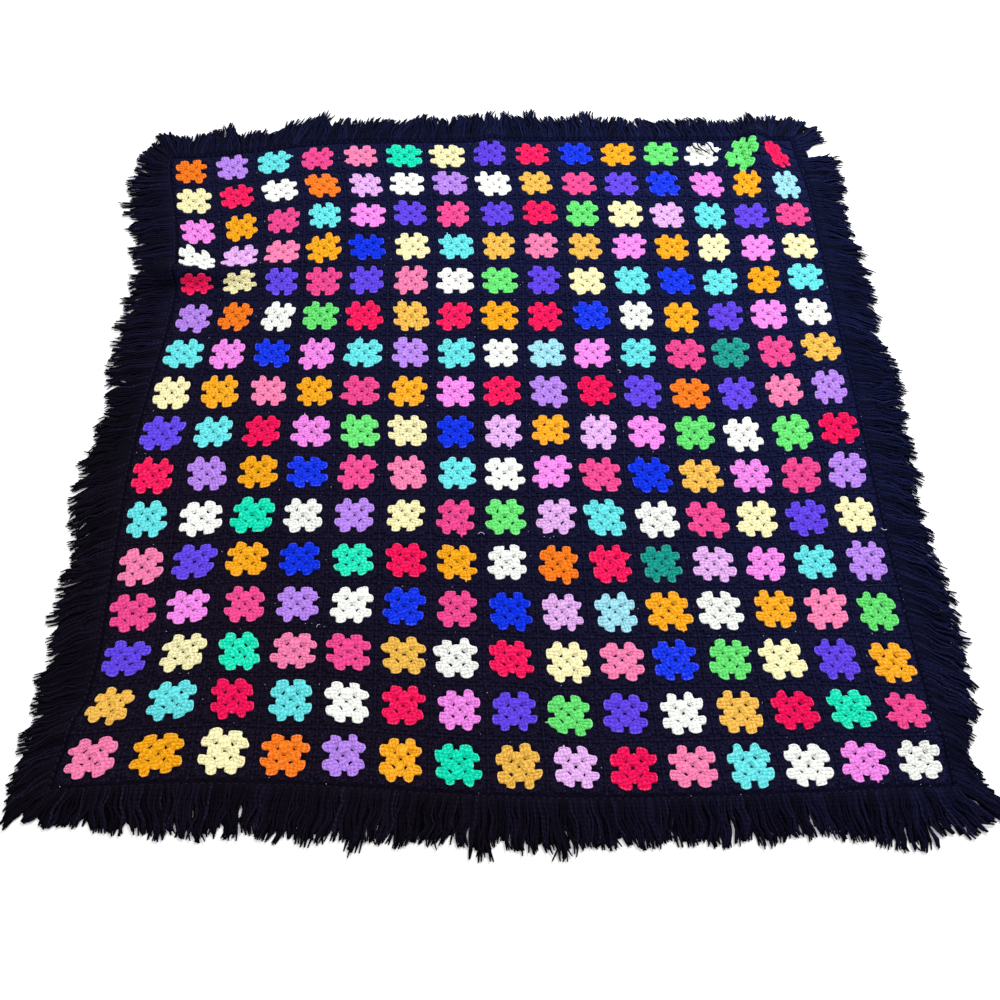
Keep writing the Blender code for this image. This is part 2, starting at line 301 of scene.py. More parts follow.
# How fast a yarn's own colour takes over from the painted shade of its gaps, its painted highlight from
# that, and all from the black of painted shade
TAKES_OVER = {"colour_with_painted_light": 1.9, "pale": 2.0, "lit": 1.6}
MIX_FACTOR, MIX_FROM, MIX_TO, MIX_COLOUR = 0, 6, 7, 2  # sockets of a Mix node on colours
# The specks of lint. Lengths in millimetres: how far along and off its join one lies, and its size.
SPECKS = {
    "count": 190, "along": 36, "off": 6, "rise": 4.0,
    "width": (0.5, 1.1), "length": (0.6, 2.4), "height": 0.7,
}
LINT_SHADE = 1.1
THREAD_RISE = 4.4 * MM
THREADS = table(  # where a thread's curl has its middle, by column and row, and how far round it goes
    "column row radius width turn start",
    (6.5, 10.4, 4.5 * MM, 0.9 * MM, 150, 10),
    (3.45, 12.5, 3.6 * MM, 0.8 * MM, 120, 80),
    (14.5, 10.3, 5.0 * MM, 1.2 * MM, 110, 200),
    (9.52, 6.5, 3.0 * MM, 0.8 * MM, 170, 300),
)
LAMPS = table(
    "name place size power colour",
    ("key", (1.3, 1.9, 2.2), 1.2, 92, (0.96, 0.98, 1.0)),
    ("fill", (-1.6, -1.4, 2.8), 2.4, 30, (1.0, 0.98, 0.95)),
)
FLOOR = {"half": 12, "colour": (0.93, 0.93, 0.93, 1), "roughness": 0.9}
ROOM = {"Color": (1.0, 1.0, 1.0, 1), "Strength": 0.70}
CAMERA = {"place": (-0.0692, -0.9682, 1.4222), "down": 60.39, "turn": 4.76, "roll": 3.84, "lens": 38.79}


def linear(code):
    """A colour written as six hexadecimal digits, as the linear values that materials take."""
    parts = [int(code[place : place + 2], 16) / 255 for place in (0, 2, 4)]
    return tuple(part / 12.92 if part < 0.04045 else ((part + 0.055) / 1.055) ** 2.4 for part in parts)


# ---------------------------------------------------------------- settings


class BlanketSizes(bpy.types.PropertyGroup):
    """The sizes that a maker would change."""

    post_width: FloatProperty(
        name="Post Width", description="Width of a coloured post at its head",
        default=6.0 * MM, min=2 * MM, subtype="DISTANCE",
    )
    puff: FloatProperty(
        name="Puff", description="How far the coloured rounds stand above the black one",
        default=1.5 * MM, min=0, subtype="DISTANCE",
    )
    strand_width: FloatProperty(
        name="Strand Width", description="Width of one strand of the fringe",
        default=3.2 * MM, min=1 * MM, subtype="DISTANCE",
    )
    strands_in_knot: IntProperty(
        name="Strands", description="Strands that hang from one knot of the fringe",
        default=8, min=2, max=10,
    )
    unevenness: FloatProperty(
        name="Unevenness", description="How unevenly the squares were crocheted",
        default=1.0, min=0, max=3, subtype="FACTOR",
    )
    deal: IntProperty(
        name="Deal", description="Number of the order in which the yarns are dealt out to the squares",
        default=7, min=0,
    )


def colour_property(name, description, code):
    """A colour that a user may change, from the six hexadecimal digits of its default."""
    return FloatVectorProperty(
        name=name, description=description, default=linear(code), min=0, max=1, size=3, subtype="COLOR"
    )


class YarnColours(bpy.types.PropertyGroup):
    """The colours of the yarns. Those of the squares are added below, one for each yarn."""

    black: colour_property("Black", "Colour of the black rounds, the edging and the fringe", BLACK)


for yarn in YARNS:
    words = yarn["name"].replace("_", " ")
    prop = colour_property(words.title(), f"Colour of the {words} yarn", yarn["colour"])
    YarnColours.__annotations__[yarn["name"]] = prop


# ---------------------------------------------------------------- setting the cloth down


def soft_step(share):
    """0 below 0, 1 above 1, and a soft step between them."""
    share = np.clip(share, 0.0, 1.0)
    return share * share * (3 - 2 * share)


def underside(x, y):
    """Where points of the flat cloth's underside lie."""
    place = np.stack([x, y, np.zeros_like(x)], axis=1)
    for pull in PULLS:
        across = (x - column(pull["column"])) / (pull["reach"][0] * PITCH)
        along = (y - row(pull["row"])) / (pull["reach"][1] * PITCH)
        strength = np.exp(-across * across - along * along)
        place += strength[:, None] * np.array((pull["right"], pull["away"], 0))
    raised = 1 - soft_step(np.maximum(abs(x) - HALF_X, abs(y) - HALF_Y) / FLAT_BEYOND)
    for fold in FOLDS:
        edge = Vector((column(fold["edge"][0]), row(fold["edge"][1])))
        crest = Vector((column(fold["inner"][0]), row(fold["inner"][1]))) - edge
        inwards = crest.normalized()
        slack = Vector((-inwards.y, inwards.x)) * (1 if fold["slack"] == "left" else -1)
        inside = (x - edge.x) * inwards.x + (y - edge.y) * inwards.y
        strength = 1 - soft_step(inside / crest.length)
        across = ((x - edge.x) * slack.x + (y - edge.y) * slack.y) / fold["half_width"]
        hump = np.where(abs(across) < 1, np.cos(across * math.pi / 2) ** 2, 0)
        lift = fold["height"] * strength * raised * hump
        moved = fold["take_up"] * strength * soft_step((across + 1) / 2) + fold["lean"] * lift
        place -= moved[:, None] * np.array((slack.x, slack.y, 0))
        place[:, 2] += lift
    return place - ORIGIN


def drape(flat):
    """Sets points of the flat layout down, their heights measured square to the cloth."""
    x, y, height = flat.T
    step = 1 * MM
    here = underside(x, y)
    rightwards = underside(x + step, y) - here
    away = underside(x, y + step) - here
    square = np.cross(rightwards, away)
    square /= np.linalg.norm(square, axis=1, keepdims=True)
    return here + square * height[:, None]


def handmade(flat, amount, lobes=0.0):
    """Moves points of the flat layout a little, as hand tension does: in slow waves, and lobe by lobe.

    Inside the sines, the factors of x and y are radians to a metre.
    """
    x, y, height = flat.T
    x = x + lobes * MM * (np.sin(171 * y + 5 * np.sin(61 * x)) + np.sin(233 * x + 97 * y))
    y = y + lobes * MM * (np.sin(187 * x + 5 * np.sin(67 * y)) + np.sin(251 * y - 89 * x))
    right = np.sin(31 * y + 2.1 * np.sin(9 * x)) + 0.7 * np.sin(53 * y - 17 * x + 1.3)
    away = np.sin(29 * x + 1.7 * np.sin(11 * y) + 0.6) + 0.7 * np.sin(47 * x + 23 * y)
    rise = 1 + 0.5 * np.sin(41 * x + 13 * y) + 0.5 * np.sin(37 * y - 19 * x + 2.0)
    x = x + HAND_SHIFT * amount * right
    y = y + HAND_SHIFT * amount * away
    return np.stack([x, y, height + HAND_RISE * amount * rise], axis=1)


# ---------------------------------------------------------------- shaping


def round_section(bm, sides, sections):
    """A closed tube along Y from round sections, each a place along it, a width and a height."""
    circle = bmesh.ops.create_circle(bm, cap_ends=True, segments=sides, radius=0.5)
    turn = Matrix.Rotation(math.pi / 2, 3, "X") @ Matrix.Rotation(math.pi / sides, 3, "Z")
    bmesh.ops.rotate(bm, verts=circle["verts"], matrix=turn)
    face = bm.faces[:][-1]
    before = {"along": 0, "width": 1, "height": 1}
    for number, section in enumerate(sections):
        if number:
            face = bmesh.ops.extrude_discrete_faces(bm, faces=[face])["faces"][0]
        scale = (section["width"] / before["width"], 1, section["height"] / before["height"])
        bmesh.ops.scale(bm, verts=face.verts, vec=scale)
        bmesh.ops.translate(bm, verts=face.verts, vec=(0, section["along"] - before["along"], 0))
        before = section
    foot = [edge for edge in bm.edges if edge.is_boundary]
    bmesh.ops.holes_fill(bm, edges=foot, sides=sides)


def new_yarn_mesh():
    """A bmesh with the layers that every yarn piece has: its shade, which paints shade and highlights into
    its colour and gives each square its tone, and its run along the yarn.
    """
    bm = bmesh.new()
    bm.verts.layers.float.new("shade")
    bm.loops.layers.uv.new("yarn")
    return bm


def shade_alike(bm, vertices, shade):
    """Gives vertices one shade."""
    layer = bm.verts.layers.float["shade"]
    for vertex in vertices:
        vertex[layer] = shade


def wind_yarn(bm, length):
    """Gives a straight tube along Y its yarn coordinates: turns round it, and widths along it."""
    run = bm.loops.layers.uv["yarn"]
    for face in bm.faces:
        middle = face.calc_center_median()
        facing = math.atan2(middle.z, middle.x) / math.tau
        for loop in face.loops:
            turned = math.atan2(loop.vert.co.z, loop.vert.co.x) / math.tau
            turned += round(facing - turned)
            loop[run].uv = (turned, loop.vert.co.y / length)


def as_mesh(bm, name):
    """Closes a bmesh up as a mesh with smooth faces."""
    bmesh.ops.triangulate(bm, faces=bm.faces)
    bmesh.ops.recalc_face_normals(bm, faces=bm.faces)
    for face in bm.faces:
        face.smooth = True
    mesh = bpy.data.meshes.new(name)
    bm.to_mesh(mesh)
    bm.free()
    return mesh


def add_copy(bm, mesh, matrix, shade=1.0, twist=0.0):
    """Adds a copy of a mesh to a bmesh, placed by a matrix, its yarn twisted on by a share of a turn."""
    bm.from_mesh(mesh)
    bm.verts.ensure_lookup_table()
    copied = bm.verts[-len(mesh.vertices) :]
    bmesh.ops.transform(bm, verts=copied, matrix=matrix)
    layer = bm.verts.layers.float["shade"]
    for vertex in copied:
        vertex[layer] *= shade
    if twist:
        bm.faces.ensure_lookup_table()
        run = bm.loops.layers.uv["yarn"]
        for face in bm.faces[-len(mesh.polygons) :]:
            for loop in face.loops:
                loop[run].uv.x += twist


# The shade column of these sections is painted shade and highlight: darker at a post's foot and tip, paler
# across the middle of a chain loop, darker at a black post's foot
POST_SECTIONS = table(  # from the foot of a post to its head
    SECTION,
    (0.00, 0.80, 0.76, 0.90),
    (0.36, 0.96, 0.95, 0.98),
    (0.84, 1.00, 1.00, 1.00),
    (1.00, 0.80, 0.70, 0.90),
)
LOOP_SECTIONS = table(  # the chain loop that lies across a post's head
    SECTION,
    (0.00, 0.70, 0.70, 1.00),
    (0.50, 1.00, 1.00, 1.32),
    (1.00, 0.70, 0.70, 1.00),
)
BLACK_SECTIONS = table(  # from the foot of a black post to its head
    SECTION,
    (0.00, 0.60, 0.70, 0.80),
    (0.72, 1.05, 1.00, 1.00),
    (1.00, 0.70, 0.60, 0.95),
)


def post(name, sides, sections, winding=1.0):
    """One crochet post, a unit long and a unit wide, from its foot to its head."""
    bm = new_yarn_mesh()
    round_section(bm, sides, sections)
    wind_yarn(bm, winding)
    layer = bm.verts.layers.float["shade"]
    for vertex in bm.verts:
        nearest = min(sections, key=lambda section: abs(section["along"] - vertex.co.y))
        vertex[layer] = nearest["shade"]
    return as_mesh(bm, name)


def between(foot, head, width, height):
    """The matrix that sets a unit post from its foot to its head."""
    along = head - foot
    aside = along.cross(Vector((0, 0, 1))).normalized()
    up = aside.cross(along).normalized()
    return Matrix(((*(aside * width), 0), (*along, 0), (*(up * height), 0), (*foot, 1))).transposed()


def lay_loop(bm, unit_loop, head, aside, top):
    """Lays a chain loop across a post's head."""
    middle = Vector((head.x, head.y, top + LOOP["above"]))
    reach = aside * LOOP["length"] / 2
    add_copy(bm, unit_loop, between(middle - reach, middle + reach, LOOP["width"], LOOP["height"]))


def cluster(bm, unit_post, foot, head, fan, width, rise, twister, unit_loop=None):
    """Three posts from one gap, fanned out to their heads, each with its chain loop across it."""
    along = (head - foot).normalized()
    aside = Vector((along.y, -along.x, 0))
    for number in (-1, 0, 1):
        start = foot + aside * number * fan["foot"] + Vector((0, 0, rise["foot"]))
        end = head + aside * number * fan["head"] - along * abs(number) * fan["round"]
        end.z = rise["head"]
        add_copy(bm, unit_post, between(start, end, width, rise["height"]), twist=twister.random())
        if unit_loop:
            turn = Matrix.Rotation(-number * LOOP["turn"], 3, "Z")
            arc = head + (turn @ along - along) * LOOP["radius"]
            lay_loop(bm, unit_loop, arc, turn @ aside, rise["head"])


def web(bm, outline):
    """The flat yarn that closes the slits between posts, from its outline."""
    face = bm.faces.new([bm.verts.new((x * MM, y * MM, WEB["top"])) for x, y in outline])
    lowered = bmesh.ops.extrude_face_region(bm, geom=[face], use_keep_orig=True)["geom"]
    lowered = [item for item in lowered if isinstance(item, bmesh.types.BMVert)]
    bmesh.ops.translate(bm, verts=lowered, vec=(0, 0, -WEB["depth"]))
    made = [*face.verts, *lowered]
    shade_alike(bm, made, WEB["shade"])
    return made


def quarter_turn(number):
    """A quarter turn about Z, as often as it is asked for."""
    return Matrix.Rotation(number * math.pi / 2, 4, "Z")


TAIL_CHANCE = 0.18  # share of the squares whose cut end of yarn has worked out of a lobe
TAIL_TURN = 25  # degrees by which it may be turned
TAIL_SIZE = (3.2 * MM, 7.0 * MM, 2.6 * MM, 1)
TAIL_PLACE = Matrix.Translation((-12.0 * MM, 25.5 * MM, 3.4 * MM)) @ Matrix.Diagonal(TAIL_SIZE)
TAIL_SECTIONS = table(
    SECTION,
    (0.00, 0.80, 0.80, 1.00),
    (0.55, 0.95, 0.95, 1.15),
    (1.00, 0.75, 0.75, 1.25),
)

# The chain loops. Those of a cluster lie on an arc of this radius, turned apart.
LOOP = {
    "length": 6.4 * MM, "width": 3.4 * MM, "height": 3.0 * MM, "above": 0.5 * MM,
    "radius": 9.0 * MM, "turn": math.radians(24), "winding": 2.6,
}
# Where the middle posts of the clusters have their feet and heads, from a square's centre: on its back
# side, or in the corner to the right of that
FIRST_ROUND = {"foot": (0, 2.2 * MM), "head": (0, 19.2 * MM)}
SECOND_ROUND = {"foot": (11.4 * MM, 11.6 * MM), "head": (12.0 * MM, 28.1 * MM)}
THIRD_CORNER = {"foot": (20.6 * MM, 21.6 * MM), "head": (22.8 * MM, 36.6 * MM)}
THIRD_MIDDLE = {"foot": (0, 21.0 * MM), "head": (0, 36.6 * MM)}
# How far apart the feet and heads of a cluster's posts are, and how far its outer heads fall back
FIRST_FAN = {"foot": 1.5 * MM, "head": 7.0 * MM, "round": 0.8 * MM}
SECOND_FAN = {"foot": 4.6 * MM, "head": 4.7 * MM, "round": 0.7 * MM}
THIRD_CORNER_FAN = {"foot": 1.6 * MM, "head": 6.4 * MM, "round": 0.6 * MM}
THIRD_MIDDLE_FAN = {"foot": 1.6 * MM, "head": 6.3 * MM, "round": 0.6 * MM}
# How high posts have their feet and heads, or how far the heads are below the top of their rounds, and
# how high the posts themselves are
FIRST_RISE = {"foot": 2.4 * MM, "below": 2.3 * MM, "height": 4.0 * MM}
SECOND_RISE = {"foot": 2.3 * MM, "below": 2.0 * MM, "height": 4.2 * MM}
THIRD_RISE = {"foot": 1.6 * MM, "head": 2.0 * MM, "height": 3.4 * MM}
FIRST_WIDER = 1.12  # widths of a post
THIRD_WIDER = 1.1
# The chain towards each corner: how far along both axes its ends are, how high it lies, and its size
CORNER_CHAIN = {"ends": (2.4 * MM, 8.3 * MM), "rise": 2.2 * MM, "wider": 1.1, "height": 3.8 * MM}
# The outlines of the webs on the back side and in its right-hand corner, in millimetres
SIDE_WEB = ((-1.3, 1.7), (1.3, 1.7), (8.0, 11.5), (6.5, 19.8), (-6.5, 19.8), (-8.0, 11.5))
CORNER_WEB = (
    (9.2, 11.2), (11.2, 9.2), (19.0, 5.4), (26.4, 6.4), (26.4, 17.8),
    (19.8, 19.8), (17.8, 26.4), (6.4, 26.4), (5.4, 19.0),
)


def ends_of(round_place):
    """The foot and head of a cluster's middle post."""
    return Vector((*round_place["foot"], 0)), Vector((*round_place["head"], 0))


def corner_pair(round_place):
    """The foot and head of the two clusters of a corner, the second the mirror of the first."""
    foot, head = ends_of(round_place)
    yield foot, head
    yield foot.yxz, head.yxz


def coloured_rounds(sizes):
    """The two coloured rounds of a square: four clusters, then two in each of their corners."""
    width = sizes.post_width
    top = CLOTH + sizes.puff
    low, high = ({**rise, "head": top - rise["below"]} for rise in (FIRST_RISE, SECOND_RISE))
    unit_post = post("coloured_post", 5, POST_SECTIONS)
    unit_loop = post("chain_loop", 4, LOOP_SECTIONS, LOOP["winding"])
    twister = random.Random(COLUMNS)
    bm = new_yarn_mesh()
    for quarter in range(4):
        turn = quarter_turn(quarter)
        foot, head = (turn @ end for end in ends_of(FIRST_ROUND))
        cluster(bm, unit_post, foot, head, FIRST_FAN, width * FIRST_WIDER, low, twister)
        for outline in (SIDE_WEB, CORNER_WEB):
            bmesh.ops.transform(bm, verts=web(bm, outline), matrix=turn)
        start, end = (turn @ Vector((reach, reach, CORNER_CHAIN["rise"])) for reach in CORNER_CHAIN["ends"])
        chain = between(start, end, width * CORNER_CHAIN["wider"], CORNER_CHAIN["height"])
        add_copy(bm, unit_post, chain, twist=twister.random())
        lay_loop(bm, unit_loop, head, turn @ Vector((1, 0, 0)), low["head"])
        for foot, head in corner_pair(SECOND_ROUND):
            cluster(bm, unit_post, turn @ foot, turn @ head, SECOND_FAN, width, high, twister, unit_loop)
    return as_mesh(bm, "coloured_rounds")


def black_round(sizes):
    """The black round of a square: a cluster on each side, and two in each corner."""
    unit_post = post("black_post", 3, BLACK_SECTIONS)
    twister = random.Random(ROWS)
    bm = new_yarn_mesh()
    width = sizes.post_width * THIRD_WIDER
    for quarter in range(4):
        turn = quarter_turn(quarter)
        foot, head = ends_of(THIRD_MIDDLE)
        cluster(bm, unit_post, turn @ foot, turn @ head, THIRD_MIDDLE_FAN, width, THIRD_RISE, twister)
        for foot, head in corner_pair(THIRD_CORNER):
            cluster(bm, unit_post, turn @ foot, turn @ head, THIRD_CORNER_FAN, width, THIRD_RISE, twister)
    return as_mesh(bm, "black_round")


# ---------------------------------------------------------------- finishing


def draped(name, bm, material, amount=0.0, lobes=0.0):
    """Sets a flat bmesh down, and makes it a finished piece of the blanket."""
    mesh = as_mesh(bm, name)
    flat = np.empty(len(mesh.vertices) * 3)
    mesh.vertices.foreach_get("co", flat)
    flat = flat.reshape(-1, 3)
    mesh.vertices.foreach_set("co", drape(handmade(flat, amount, lobes)).ravel())
    mesh.update()
    mesh.materials.clear()
    mesh.materials.append(material)
    piece = bpy.data.objects.new(name, mesh)
    bpy.context.scene.collection.objects.link(piece)
    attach(piece, "root")
    return piece


class Value:
    """A socket of a material's nodes. Arithmetic on values adds Math nodes."""

    def __init__(self, shader, socket):
        self.shader = shader
        self.socket = socket

    def math(self, operation, *terms):
        """Adds a Math node on this value's material."""
        inputs = dict(enumerate(terms))
        return self.shader.node("ShaderNodeMath", {"operation": operation}, inputs)

    def __add__(self, other):
        return self.math("ADD", self, other)

    def __sub__(self, other):
        return self.math("SUBTRACT", self, other)

    def __rsub__(self, other):
        return self.math("SUBTRACT", other, self)

    def __mul__(self, other):
        return self.math("MULTIPLY", self, other)

    __radd__ = __add__
    __rmul__ = __mul__

    def beside(self, output):
        """Another output of the node that this value comes from."""
        return Value(self.shader, self.socket.node.outputs[output])

    def wave(self):
        """A wave between 0 and 1 that comes back at every whole number."""
        return self.math("SINE", self * math.tau) * 0.5 + 0.5


class Shader:
    """Builds one material from its nodes."""

    def __init__(self, name):
        self.material = bpy.data.materials.new(name)
        self.material.use_nodes = True
        self.tree = self.material.node_tree
        self.surface = self.tree.nodes["Principled BSDF"]

    def put(self, socket, value):
        """Sets a socket to a value, or links one to it."""
        if isinstance(value, Value):
            self.tree.links.new(value.socket, socket)
        else:
            socket.default_value = value

    def node(self, kind, settings=None, inputs=None, output=0):
        """Adds a node: its settings first, then the values or links of its sockets."""
        made = self.tree.nodes.new(kind)
        for name, value in (settings or {}).items():
            setattr(made, name, value)
        for name, value in (inputs or {}).items():
            self.put(made.inputs[name], value)
        return Value(self, made.outputs[output])

    def mix(self, factor, start, end):
        """A colour between two others, each a value or three numbers."""
        start, end = (part if isinstance(part, Value) else (*part, 1) for part in (start, end))
        settings = {"data_type": "RGBA", "clamp_factor": True}
        inputs = {MIX_FACTOR: factor, MIX_FROM: start, MIX_TO: end}
        return self.node("ShaderNodeMix", settings, inputs, MIX_COLOUR)

    def finish(self, **values):
        """Sets the sockets of the surface, named with underscores for spaces."""
        for name, value in values.items():
            self.put(self.surface.inputs[name.replace("_", " ")], value)
        return self.material


def shaded_for_gaps(colour):
    """A yarn's colour with the painted shade of the gaps between its strands."""
    return tuple(part * PAINTED_GAP_SHADE for part in colour)


def yarn_patterns(shader, place, shade):
    """How far a yarn stands out, and how pale it is painted: shade painted into the grooves of its twist
    and its small pits, and tone from its fibres and mottle.
    """
    run = shader.node("ShaderNodeUVMap", {"uv_map": "yarn"})
    turned = shader.node("ShaderNodeSeparateXYZ", inputs={0: run}, output="X")
    along = turned.beside("Y")
    fine = {"Vector": place, "Scale": PATTERNS["fibres"], "Detail": 3}
    coarse = {"Vector": place, "Scale": PATTERNS["mottle"], "Detail": 2}
    fibre, mottle = (shader.node("ShaderNodeTexNoise", inputs=noise) for noise in (fine, coarse))
    pit = shader.node("ShaderNodeTexVoronoi", inputs={"Vector": place, "Scale": PATTERNS["pits"]})
    pit = shader.node("ShaderNodeMapRange", inputs={"Value": pit, **PIT_RANGE})
    wander = mottle * WANDER
    wrap = (turned + along * TWIST["wraps"] + wander).wave()
    ply = (turned * TWIST["plies"] + along * TWIST["ply_turns"] + wander).wave()
    relief = wrap + ply * RELIEF["ply"] + fibre * RELIEF["fibre"] + mottle * RELIEF["mottle"]
    painted_lightness = shade - PALE_FROM + wrap * PALER["wrap"] + (mottle - 0.5) * PALER["mottle"]
    painted_lightness = painted_lightness + (fibre - 0.5) * PALER["fibre"] + pit * PALER["pit"]
    return relief, painted_lightness


def yarn_material(name, colour, gloss=0.04, sheen=0.02, painted_cool_light=None, shine=None):
    """A soft acrylic yarn, with painted shade in its gaps and painted highlights where it stands proud."""
    shader = Shader(name)
    shade = shader.node("ShaderNodeAttribute", {"attribute_name": "shade"}, output="Fac")
    place = shader.node("ShaderNodeTexCoord", output="Object")
    relief, painted_lightness = yarn_patterns(shader, place, shade)
    # Painted highlight: the colour that a yarn goes towards where its shade is high
    lifted = PAINTED_HIGHLIGHT * (1 - GREEN_LIFTS + GREEN_LIFTS * colour[1])
    pale = shine or tuple(part + (1 - part) * lifted for part in colour)
    colour_with_painted_light, gap_shade = colour, shaded_for_gaps(colour)
    # Painted light: the black turns towards navy to the right and away, as under a cool light from the back
    # right
    if painted_cool_light:
        right = shader.node("ShaderNodeSeparateXYZ", inputs={0: place}, output="X")
        cool_light_share = (right + right.beside("Y")) * PAINTED_LIGHT_SLOPE + 0.5
        colour_with_painted_light = shader.mix(cool_light_share, colour_with_painted_light, painted_cool_light)
        gap_shade = shader.mix(cool_light_share, gap_shade, shaded_for_gaps(painted_cool_light))
    colour_with_painted_light = shader.mix(painted_lightness * TAKES_OVER["colour_with_painted_light"], gap_shade, colour_with_painted_light)
    colour_with_painted_light = shader.mix(painted_lightness * TAKES_OVER["pale"] - 1.0, colour_with_painted_light, pale)
    # Painted shade: where the shade is low, the colour goes towards black
    colour_with_painted_light = shader.mix(shade * TAKES_OVER["lit"], (0.0, 0.0, 0.0), colour_with_painted_light)
    bump = {"Strength": 0.9, "Distance": 1.0 * MM, "Height": relief}
    return shader.finish(
        Base_Color=colour_with_painted_light,
        Normal=shader.node("ShaderNodeBump", inputs=bump),
        Roughness=0.9,
        Specular_IOR_Level=gloss,
        Sheen_Weight=sheen,
        Sheen_Roughness=0.6,
    )


def black_yarn(context):
    """The black yarn's material, made once."""
    made = bpy.data.materials.get("black_yarn_finish")
    colour = tuple(context.scene.yarn_colours.black)
    # The black's navy is painted cool light, and its shine is a painted highlight
    finish = {"gloss": 0.05, "sheen": 0.0, "painted_cool_light": linear(PAINTED_LIGHT_NAVY), "shine": linear(BLACK_SHINE)}
    return made or yarn_material("black_yarn_finish", colour, **finish)


# ---------------------------------------------------------------- the squares


def deal_yarns(order):
    """Deals every square its yarn: no family lies side by side, and no yarn meets itself at a corner."""
    dealer = random.Random(order)
    family = {yarn["name"]: yarn["family"] for yarn in YARNS}
    places = [(across, down) for down in range(ROWS) for across in range(COLUMNS)]
    while True:
        left = {yarn["name"]: yarn["squares"] for yarn in YARNS}
        dealt = dict(CHOSEN)
        for name in CHOSEN.values():
            left[name] -= 1
        for across, down in places:
            if (across, down) in dealt:
                continue
            beside = [dealt.get((across + x, down + y)) for x, y in ((-1, 0), (1, 0), (0, -1), (0, 1))]
            corner = [dealt.get((across + x, down + y)) for x in (-1, 1) for y in (-1, 1)]
            kin = {family[name] for name in beside if name}
            fit = [name for name in left if left[name] and family[name] not in kin and name not in corner]
            if not fit:
                break
            weights = [left[name] ** STOCK_POWER for name in fit]
            dealt[across, down] = dealer.choices(fit, weights=weights)[0]
            left[dealt[across, down]] -= 1
        if len(dealt) == len(places):
            return dealt


def uneven_square(across, down, unevenness, dealer):
    """Where one coloured middle lies, turned, stretched and shifted a little as hand work is."""
    def vary(what):
        """Up to so much more or less."""
        return dealer.uniform(-VARIES[what], VARIES[what]) * unevenness

    turned, wide, tall, slant = DRAWN_IN.get((across, down), PLAIN)
    shift = Vector((column(across) + vary("shift"), row(down) + vary("shift"), 0))
    turn = Matrix.Rotation(math.radians(turned + vary("turn")), 4, "Z")
    stretch = Matrix.Diagonal((wide + vary("stretch"), tall + vary("stretch"), 1, 1))
    shear = Matrix.Identity(4)
    shear[0][1] = vary("shear")
    shear[1][0] = slant
    return Matrix.Translation(shift) @ turn @ shear @ stretch


class BLANKET_OT_ground(bpy.types.Operator):
    """Make the black cloth that the rounds stand on, which is painted shade under the gaps of the coloured
    rounds
    """

    bl_idname = "blanket.ground"
    bl_label = "Black Ground"

    def execute(self, context):
        """A fine grid, thickened and set down."""
        bm = new_yarn_mesh()
        cells = {"x_segments": COLUMNS * GROUND["cells"], "y_segments": ROWS * GROUND["cells"]}
        place = Matrix.Translation((0, 0, GROUND["top"])) @ Matrix.Diagonal((HALF_X, HALF_Y, 1, 1))
        bmesh.ops.create_grid(bm, size=1, matrix=place, **cells)
        shade_alike(bm, bm.verts, GROUND["shade"])
        bmesh.ops.recalc_face_normals(bm, faces=bm.faces)
        bmesh.ops.solidify(bm, geom=bm.faces, thickness=GROUND["depth"])
        piece = draped("black_ground", bm, black_yarn(context))
        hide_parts("granny_squares")
        return {"FINISHED"}


class BLANKET_OT_black_rounds(bpy.types.Operator):
    """Crochet the black round of every square"""

    bl_idname = "blanket.black_rounds"
    bl_label = "Black Rounds"

    def execute(self, context):
        """The back half and the front half of the blanket are a piece each."""
        sizes = context.scene.blanket_sizes
        unit_round = black_round(sizes)
        halves = {"back": range(ROWS // 2), "front": range(ROWS // 2, ROWS)}
        for name, rows in halves.items():
            bm = new_yarn_mesh()
            for down in rows:
                for across in range(COLUMNS):
                    place = Matrix.Translation((column(across), row(down), 0))
                    add_copy(bm, unit_round, place)
            piece = draped(f"black_rounds_{name}", bm, black_yarn(context), sizes.unevenness)
            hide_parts("granny_squares")
        return {"FINISHED"}


class BLANKET_OT_joins(bpy.types.Operator):
    """Join the squares with ridges of black stitches"""

    bl_idname = "blanket.joins"
    bl_label = "Joining Ridges"

    def execute(self, context):
        """A chained ridge along every line between two squares, both ways."""
        sizes = context.scene.blanket_sizes
        bm = new_yarn_mesh()
        upright = chained_ridge(2 * HALF_Y)
        across = chained_ridge(2 * HALF_X)
        for number in range(COLUMNS - 1):
            add_copy(bm, upright, Matrix.Translation((column(number + 0.5), 0, JOIN_HEIGHT)))
        for number in range(ROWS - 1):
            place = Matrix.Translation((0, row(number + 0.5), JOIN_HEIGHT))
            add_copy(bm, across, place @ quarter_turn(1))
        piece = draped("joining_ridges", bm, black_yarn(context), sizes.unevenness)
        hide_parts("granny_squares")
        return {"FINISHED"}


def chained_ridge(length):
    """A ridge of chain stitches along Y, centred, thick and thin by turns."""
    stitches = round(length / STITCH)
    bm = new_yarn_mesh()
    bmesh.ops.create_cone(bm, cap_ends=True, segments=4, radius1=0.5, radius2=0.5, depth=1)
    runs = [edge for edge in bm.edges if abs(edge.verts[0].co.z - edge.verts[1].co.z) > 0.5]
    bmesh.ops.subdivide_edges(bm, edges=runs, cuts=2 * stitches - 1, use_grid_fill=True)
    bmesh.ops.rotate(bm, verts=bm.verts, matrix=Matrix.Rotation(-math.pi / 2, 3, "X"))
    layer = bm.verts.layers.float["shade"]
    for vertex in bm.verts:
        step = round((vertex.co.y + 0.5) * 2 * stitches)
        stitch = THICK if step % 2 else THIN
        vertex.co.x *= stitch["width"]
        vertex.co.z *= stitch["height"]
        vertex.co.y *= length
        vertex[layer] = stitch["shade"]
    wind_yarn(bm, STITCH)
    return as_mesh(bm, "chained_ridge")


